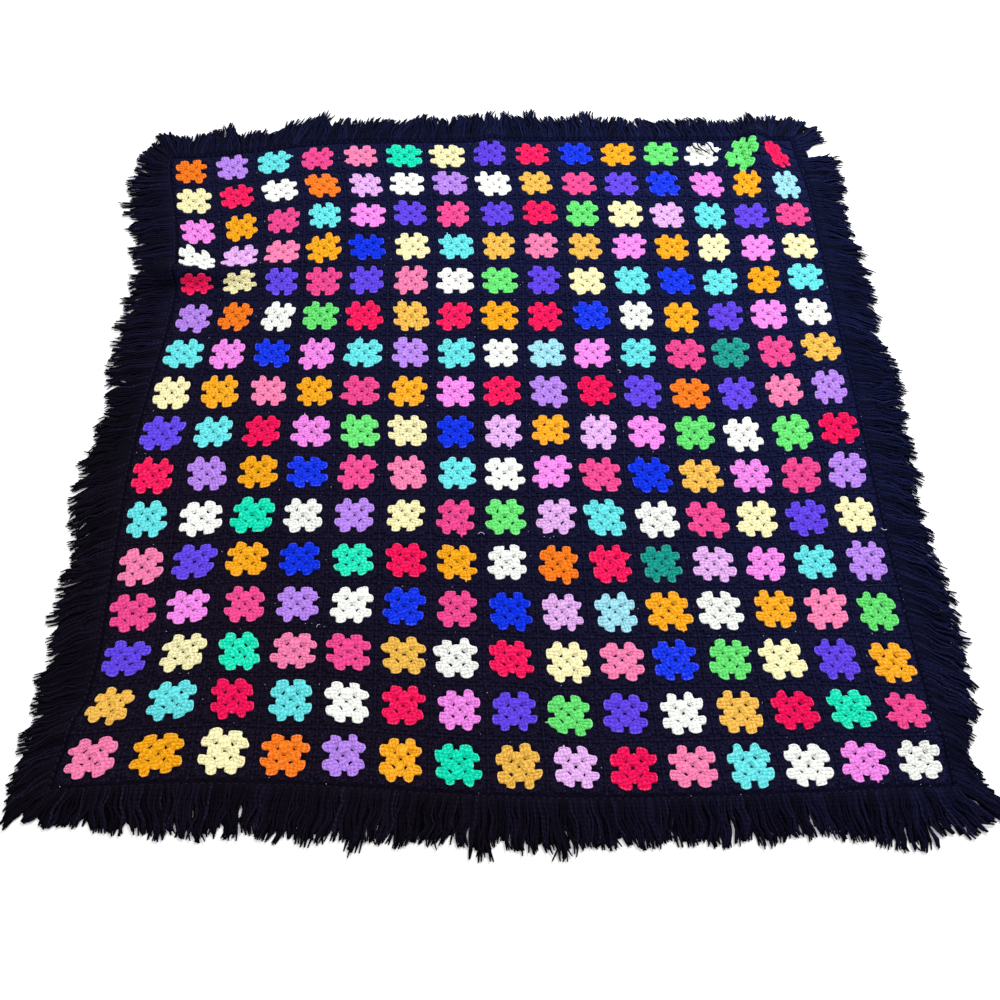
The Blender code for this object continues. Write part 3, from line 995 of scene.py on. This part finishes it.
class BLANKET_OT_coloured_rounds(bpy.types.Operator):
    """Crochet the two coloured rounds of every square, in the yarns dealt to them"""

    bl_idname = "blanket.coloured_rounds"
    bl_label = "Coloured Rounds"

    def execute(self, context):
        """All the squares of one yarn are a piece."""
        sizes = context.scene.blanket_sizes
        unit_rounds = coloured_rounds(sizes)
        dealt = deal_yarns(sizes.deal)
        dealer = random.Random(sizes.deal)
        unit_tail = post("tail", 4, TAIL_SECTIONS, LOOP["winding"])
        for yarn in YARNS:
            bm = new_yarn_mesh()
            for across, down in sorted(place for place, name in dealt.items() if name == yarn["name"]):
                place = uneven_square(across, down, sizes.unevenness, dealer)
                add_copy(bm, unit_rounds, place, dealer.uniform(*SQUARE_SHADES))
                if dealer.random() < TAIL_CHANCE:
                    quarter = quarter_turn(dealer.randrange(4))
                    turned = Matrix.Rotation(math.radians(dealer.uniform(-TAIL_TURN, TAIL_TURN)), 4, "Z")
                    add_copy(bm, unit_tail, place @ quarter @ TAIL_PLACE @ turned)
            colour = tuple(getattr(context.scene.yarn_colours, yarn["name"]))
            material = yarn_material(f"{yarn['name']}_yarn", colour)
            lobes = VARIES["lobes"] * sizes.unevenness
            piece = draped(f"squares_{yarn['name']}", bm, material, sizes.unevenness, lobes)
            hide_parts("granny_squares")
        return {"FINISHED"}


# ---------------------------------------------------------------- the fringe


def strung(side):
    """How far from the middle of a side its fringe reaches."""
    return side["half"] + EDGING - INSET


def corner_share(place, half):
    """How far a lock fans out to the corner: 1 at the end of a side, half its length from its middle."""
    return soft_step((abs(place) - half + FAN_REACH) / FAN_REACH)


def waves(those, place, start):
    """The sum of sine waves, each given by its height and its radians to a unit of place."""
    return sum(height * np.sin(place * pace + start) for height, pace in those)


def lock_lean(side, place):
    """The angle at which strands lean along their side: out at the corners, in slow waves between."""
    half = side["half"] + EDGING
    to_corner = corner_share(place, half)
    share = (place + half) / (2 * half)
    drift = side["lean_first"] * (1 - share) + side["lean_last"] * share
    lean = (drift + waves(LEAN_WAVES, place, side["turn"])) * (1 - to_corner)
    return np.radians(np.copysign(CORNER_FAN * to_corner, place) + lean)


def straight_strand():
    """One strand of the fringe, a unit long and a unit wide, along +Y."""
    bm = new_yarn_mesh()
    steps = len(STRAND_TAPER) - 1
    lines = [(step / steps, wide, wide) for step, wide in enumerate(STRAND_TAPER)]
    sections = table("along width height", *lines)
    round_section(bm, 3, sections)
    wind_yarn(bm, 1 / STRAND_WRAPS)
    shade_alike(bm, bm.verts, 1.0)
    bm.verts.layers.float.new("strand")
    return as_mesh(bm, "strand")


def numbered_copies(mesh, copies, step, name):
    """Copies of a mesh in one. From each to the next, the numbers of its strands go up by a step."""
    bm = bmesh.new()
    for number in range(copies):
        bm.from_mesh(mesh)
        bm.verts.ensure_lookup_table()
        layer = bm.verts.layers.float["strand"]
        for vertex in bm.verts[-len(mesh.vertices) :]:
            vertex[layer] += number * step
    return as_mesh(bm, name)


class Fringe:
    """The strands of one side of the fringe. Its arrays hold a value for each vertex of their mesh."""

    def __init__(self, side, mesh, per_knot, seed):
        """Reads off the mesh which strand, knot and lock each vertex belongs to."""
        self.side = side
        flat = np.empty(len(mesh.vertices) * 3)
        mesh.vertices.foreach_get("co", flat)
        self.aside, self.along, self.above = flat.reshape(-1, 3).T
        strand = np.empty(len(mesh.vertices))
        mesh.attributes["strand"].data.foreach_get("value", strand)
        self.strand = strand.round().astype(int)
        self.in_knot = self.strand % per_knot
        self.from_knot = (self.in_knot + 0.5) / per_knot - 0.5  # shares of a knot, from its middle
        self.knot = self.strand // per_knot
        self.lock = self.knot // KNOTS_PER_LOCK
        self.under = self.strand % UNDERLAY["every"] == 0
        knots = self.knot.max() + 1
        knot_place = ((self.knot + 0.5) / knots * 2 - 1) * strung(side)
        self.middle = ((self.lock + 0.5) * KNOTS_PER_LOCK / knots * 2 - 1) * strung(side)
        self.root = knot_place - self.middle + self.from_knot * KNOT_WIDTH
        self.lean = lock_lean(side, self.middle + self.root)
        self.chance = np.random.default_rng(seed)

    def vary(self, group, low, high):
        """A value between two limits for each strand, knot or lock."""
        return self.chance.uniform(low, high, self.strand.max() + 1)[group]

    def slowly(self, low, high):
        """A value between two limits that changes slowly, from tuft to tuft."""
        middles = np.arange(0, self.strand.max() + STRANDS_IN_TUFT, STRANDS_IN_TUFT)
        return np.interp(self.strand, middles, self.chance.uniform(low, high, len(middles)))

    def level(self, name):
        """A measure of each strand, by whether it is an upper or a lower one."""
        return np.where(self.strand % 2, UPPER[name], LOWER[name])

    def lengths(self):
        """How long the strands are: cut by the lock, and trimmed where their tips lie."""
        from_middle = abs(self.root) / (PITCH / LOCKS_PER_SQUARE / 2)
        longest, lost = MIDDLE_LONGER
        length = LOCK_LENGTH * (1 + UNEVEN * waves(LENGTH_WAVES, self.lock, self.side["turn"]))
        length *= (longest - lost * from_middle**2) * self.slowly(*TUFT_CUT)
        cut = self.vary(self.strand, *STRAND_CUT)
        cut += LONG_STRANDS["longer"] * self.vary(self.strand, 0, 1) ** LONG_STRANDS["rare"]
        length *= cut * self.vary(self.lock, *LOCK_CUT)
        tip = self.middle + self.root + length * np.sin(self.lean)
        length *= np.interp(tip / PITCH, *zip(*TRIMMED[self.side["name"]]))
        return np.where(self.under, length * UNDERLAY["length"], length)

    def curls(self, length, loose):
        """How far the strands are off their straight lines: drawn together, splayed and curled."""
        pinch = self.vary(self.lock, *PINCH)
        off = self.vary(self.strand, -SPLAY, SPLAY) * self.along - self.root * pinch * self.along**6
        run = self.vary(self.lock, *CURL_RUN) * MM
        wave = math.tau * (self.along * length / run) + self.vary(self.lock, 0, math.tau)
        depth = self.vary(self.knot, *CURL_DEPTH) * MM * loose
        off += depth * np.sin(wave + self.vary(self.strand, -CURL_SHIFT, CURL_SHIFT))
        depth = self.vary(self.strand, *KINKS["depth"]) * MM * loose
        off += depth * np.sin(wave * KINKS["pace"] + self.vary(self.strand, 0, math.tau))
        return off

    def angles(self):
        """Where the strands point, from straight out: with their side, their tuft and their lock."""
        apart = self.slowly(-1, 1) * self.side["tufts"] + self.vary(self.lock, -1, 1) * self.side["locks"]
        apart += self.vary(self.knot, -KNOT_LEAN, KNOT_LEAN)
        apart += self.vary(self.strand, -1, 1) ** 3 * STRAND_LEAN
        bent = LEAN_AT_ROOT + (1 - LEAN_AT_ROOT) * self.along
        return self.lean * bent + np.radians(apart) * self.along

    def breadths(self):
        """How wide the strands are, in widths of a strand: wider where they fan out at a corner."""
        fanned = 1 + FAN_WIDER * self.along * corner_share(self.middle, self.side["half"])
        breadth = self.level("width") - self.level("narrows") * self.along**4
        return np.where(self.under, UNDERLAY["width"], breadth) * fanned


def lay_fringe(side, mesh, per_knot, width, seed):
    """Lays straight strands out along their locks: clumped, curled, and resting on those below.

    The strands' chances are dealt from one pack, so the order of these steps is part of the result.
    """
    fringe = Fringe(side, mesh, per_knot, seed)
    along = fringe.along
    loose = np.minimum(along * FREED, 1.0)
    length = fringe.lengths()
    off = fringe.curls(length, loose)
    angle = fringe.angles()
    rest = width * (fringe.level("rest") - fringe.level("settles") * along) + ROOT_RISE * (1 - loose)
    rest += fringe.vary(fringe.strand, 0, ARCH) * np.sin(along * math.pi)
    if side["name"] == THROWN_BACK["side"]:
        thrown = np.isin(fringe.knot, THROWN_BACK["knots"]) & (fringe.in_knot > THROWN_BACK["first"])
        thrown &= fringe.strand % 2 == 1
        back = math.radians(THROWN_BACK["angle"]) + THROWN_BACK["fanned"] * fringe.from_knot
        angle = np.where(thrown, back, angle)
        rest += thrown * THROWN_BACK["above"]
    off += fringe.aside * width * fringe.breadths()
    x = fringe.middle + fringe.root + off * np.cos(angle) + along * length * np.sin(angle)
    y = KNOT_INSIDE - side["edge"] - EDGING + off * np.sin(angle) - along * length * np.cos(angle)
    z = rest + fringe.above * width * fringe.level("height")
    mesh.vertices.foreach_set("co", np.stack([x, y, z], axis=1).ravel())
    shade = np.empty(len(mesh.vertices))
    mesh.attributes["shade"].data.foreach_get("value", shade)
    # Painted shade and highlight: each strand is lit more or less, and the lower ones are darker
    darkest, lighter = STRAND_SHADES
    shade *= (darkest + lighter * fringe.vary(fringe.strand, 0, 1) ** 2) * fringe.level("shade")
    mesh.attributes["shade"].data.foreach_set("value", shade)
    mesh.update()


def fringe_of(side, sizes, seed):
    """One side's strands, knots and chained edging, flat: laid as at the front, and turned to that side."""
    per_knot = sizes.strands_in_knot
    knots = LOCKS_PER_SQUARE * KNOTS_PER_LOCK * round(2 * side["half"] / PITCH)
    bundle = numbered_copies(straight_strand(), per_knot, 1, "bundle")
    strands = numbered_copies(bundle, knots, per_knot, "strands")
    lay_fringe(side, strands, per_knot, sizes.strand_width, seed)
    bm = bmesh.new()
    bm.from_mesh(strands)
    knot = post("knot", 6, KNOT_SECTIONS)
    reach = Vector((KNOT["length"], 0, 0))
    for number in range(knots):
        place = ((number + 0.5) / knots * 2 - 1) * strung(side)
        foot = Vector((place, KNOT["inside"] - side["edge"] - EDGING, KNOT["rise"])) - reach / 2
        add_copy(bm, knot, between(foot, foot + reach, KNOT["width"], KNOT["height"]))
    chain = chained_ridge(2 * strung(side))
    for beyond in EDGING_CHAINS:
        place = Matrix.Translation((0, -side["edge"] - beyond, JOIN_HEIGHT))
        add_copy(bm, chain, place @ quarter_turn(1), EDGING_SHADE)
    bmesh.ops.rotate(bm, verts=bm.verts, matrix=Matrix.Rotation(math.radians(side["turn"]), 3, "Z"))
    return bm


class BLANKET_OT_fringe(bpy.types.Operator):
    """Knot the fringe into the edging on all four sides"""

    bl_idname = "blanket.fringe"
    bl_label = "Knotted Fringe"

    def execute(self, context):
        """Each side's edging, knots and strands are a piece."""
        sizes = context.scene.blanket_sizes
        for seed, side in enumerate(SIDES):
            piece = draped(f"{side['name']}_fringe", fringe_of(side, sizes, seed), black_yarn(context))
            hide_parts(f"fringe_{side['name']}")
        return {"FINISHED"}


class BLANKET_OT_lint(bpy.types.Operator):
    """Strew the lint and the loose threads that black yarn collects"""

    bl_idname = "blanket.lint"
    bl_label = "Lint And Loose Threads"

    def execute(self, context):
        """The specks and a few curled threads."""
        bm = new_yarn_mesh()
        strew_specks(bm)
        for thread in THREADS:
            curl(bm, thread)
        shade_alike(bm, bm.verts, LINT_SHADE)
        lint = yarn_material("lint_fluff", linear(LINT))
        piece = draped("lint", bm, lint, context.scene.blanket_sizes.unevenness)
        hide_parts("granny_squares")
        return {"FINISHED"}


def strew_specks(bm):
    """Adds specks along the joins, where the black lies open: by turns along a row and along a column."""
    dealer = random.Random(SPECKS["count"])
    ball = new_yarn_mesh()
    bmesh.ops.create_icosphere(ball, subdivisions=1, radius=0.5)
    speck = as_mesh(ball, "speck")
    for number in range(SPECKS["count"]):
        along_row = number % 2
        across = column(dealer.randrange(COLUMNS) + (0 if along_row else 0.5))
        down = row(dealer.randrange(ROWS) + (0.5 if along_row else 0))
        aside = Vector([dealer.uniform(-SPECKS[way], SPECKS[way]) for way in ("along", "off")] + [0])
        place = Vector((across, down, SPECKS["rise"] * MM)) + (aside if along_row else aside.yxz) * MM
        turn = Matrix.Rotation(dealer.uniform(0, math.tau), 4, "Z")
        wide, long = (dealer.uniform(*SPECKS[way]) for way in ("width", "length"))
        size = Matrix.Diagonal((wide * MM, long * MM, SPECKS["height"] * MM, 1))
        add_copy(bm, speck, Matrix.Translation(place) @ turn @ size)


def curl(bm, thread):
    """Adds a thin curled thread that lies on the squares."""
    before = len(bm.verts)
    circle = bmesh.ops.create_circle(bm, cap_ends=True, segments=5, radius=thread["width"] / 2)
    upright = Matrix.Rotation(math.pi / 2, 3, "X")
    bmesh.ops.rotate(bm, verts=circle["verts"], matrix=upright)
    bmesh.ops.translate(bm, verts=circle["verts"], vec=(thread["radius"], 0, 0))
    face = bm.faces[:][-1]
    spun = {"cent": (0, 0, 0), "axis": (0, 0, 1), "angle": math.radians(thread["turn"]), "steps": 10}
    bmesh.ops.spin(bm, geom=[face, *face.edges, *face.verts], **spun)
    place = Matrix.Translation((column(thread["column"]), row(thread["row"]), THREAD_RISE))
    turn = Matrix.Rotation(math.radians(thread["start"]), 4, "Z")
    bmesh.ops.transform(bm, verts=bm.verts[:][before:], matrix=place @ turn)


class BLANKET_OT_declare_cloth(bpy.types.Operator):
    """Do nothing: the flat size of the cloth is not stated here"""

    bl_idname = "blanket.declare_cloth"
    bl_label = "Flat Size"

    def execute(self, context):
        """Does nothing."""
        return {"FINISHED"}


# ---------------------------------------------------------------- the stage


def lay_floor(scene):
    """A pale matt floor that fills the view."""
    bm = bmesh.new()
    bmesh.ops.create_grid(bm, x_segments=1, y_segments=1, size=FLOOR["half"])
    mesh = bpy.data.meshes.new("floor")
    bm.to_mesh(mesh)
    bm.free()
    paint = Shader("floor_paint").finish(Base_Color=FLOOR["colour"], Roughness=FLOOR["roughness"])
    mesh.materials.append(paint)
    floor = bpy.data.objects.new("floor", mesh)
    scene.collection.objects.link(floor)
    floor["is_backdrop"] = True


def light_room(scene):
    """Even light from all round, and soft lamps that face the middle of the blanket."""
    world = bpy.data.worlds.new("room")
    world.use_nodes = True
    for name, value in ROOM.items():
        world.node_tree.nodes["Background"].inputs[name].default_value = value
    scene.world = world
    for lamp in LAMPS:
        light = bpy.data.lights.new(lamp["name"], "AREA")
        light.shape = "SQUARE"
        light.size = lamp["size"]
        light.energy = lamp["power"]
        light.color = lamp["colour"]
        holder = bpy.data.objects.new(lamp["name"], light)
        holder.location = lamp["place"]
        holder.rotation_euler = (-Vector(lamp["place"])).to_track_quat("-Z", "Y").to_euler()
        scene.collection.objects.link(holder)


def set_camera(scene):
    """A camera that looks down on the blanket from its front."""
    camera = bpy.data.objects.new("camera", bpy.data.cameras.new("camera"))
    camera.data.lens = CAMERA["lens"]
    camera.location = CAMERA["place"]
    down, turn, roll = (math.radians(CAMERA[name]) for name in ("down", "turn", "roll"))
    aim = Matrix.Rotation(-turn, 3, "Z") @ Matrix.Rotation(math.pi / 2 - down, 3, "X")
    camera.rotation_euler = (aim @ Matrix.Rotation(roll, 3, "Z")).to_euler()
    scene.collection.objects.link(camera)
    scene.camera = camera


class BLANKET_OT_stage(bpy.types.Operator):
    """Set the pale floor, the soft lights and the camera"""

    bl_idname = "blanket.stage"
    bl_label = "Stage"

    def execute(self, context):
        """Colours are shown as they are, without a film look."""
        for prepare in (lay_floor, light_room, set_camera):
            prepare(context.scene)
        context.scene.view_settings.view_transform = "Standard"
        return {"FINISHED"}


class BLANKET_PT_panel(bpy.types.Panel):
    """The blanket's pieces, in the order in which they are made"""

    bl_idname = "BLANKET_PT_panel"
    bl_label = "Granny Square Blanket"
    bl_space_type = "VIEW_3D"
    bl_region_type = "UI"
    bl_category = "Blanket"

    def draw(self, context):
        """Lists the sizes, the colours and the operators."""
        for group in (context.scene.blanket_sizes, context.scene.yarn_colours):
            for name in group.__annotations__:
                self.layout.prop(group, name)
        for operator in OPERATORS:
            self.layout.operator(operator.bl_idname)


OPERATORS = (
    BLANKET_OT_ground,
    BLANKET_OT_black_rounds,
    BLANKET_OT_joins,
    BLANKET_OT_coloured_rounds,
    BLANKET_OT_fringe,
    BLANKET_OT_lint,
    BLANKET_OT_declare_cloth,
    BLANKET_OT_stage,
)
CLASSES = (BlanketSizes, YarnColours, *OPERATORS, BLANKET_PT_panel)


def register():
    """Registers the classes, and gives the scene its sizes and colours."""
    for made in CLASSES:
        bpy.utils.register_class(made)
    bpy.types.Scene.blanket_sizes = PointerProperty(type=BlanketSizes)
    bpy.types.Scene.yarn_colours = PointerProperty(type=YarnColours)


def unregister():
    """Takes the classes and the scene's settings away again."""
    del bpy.types.Scene.yarn_colours
    del bpy.types.Scene.blanket_sizes
    for made in reversed(CLASSES):
        bpy.utils.unregister_class(made)


def main():
    """Makes the blanket and its stage."""
    register()
    for operator in OPERATORS:
        group, name = operator.bl_idname.split(".")
        getattr(getattr(bpy.ops, group), name)()


if __name__ == "__main__":
    main()
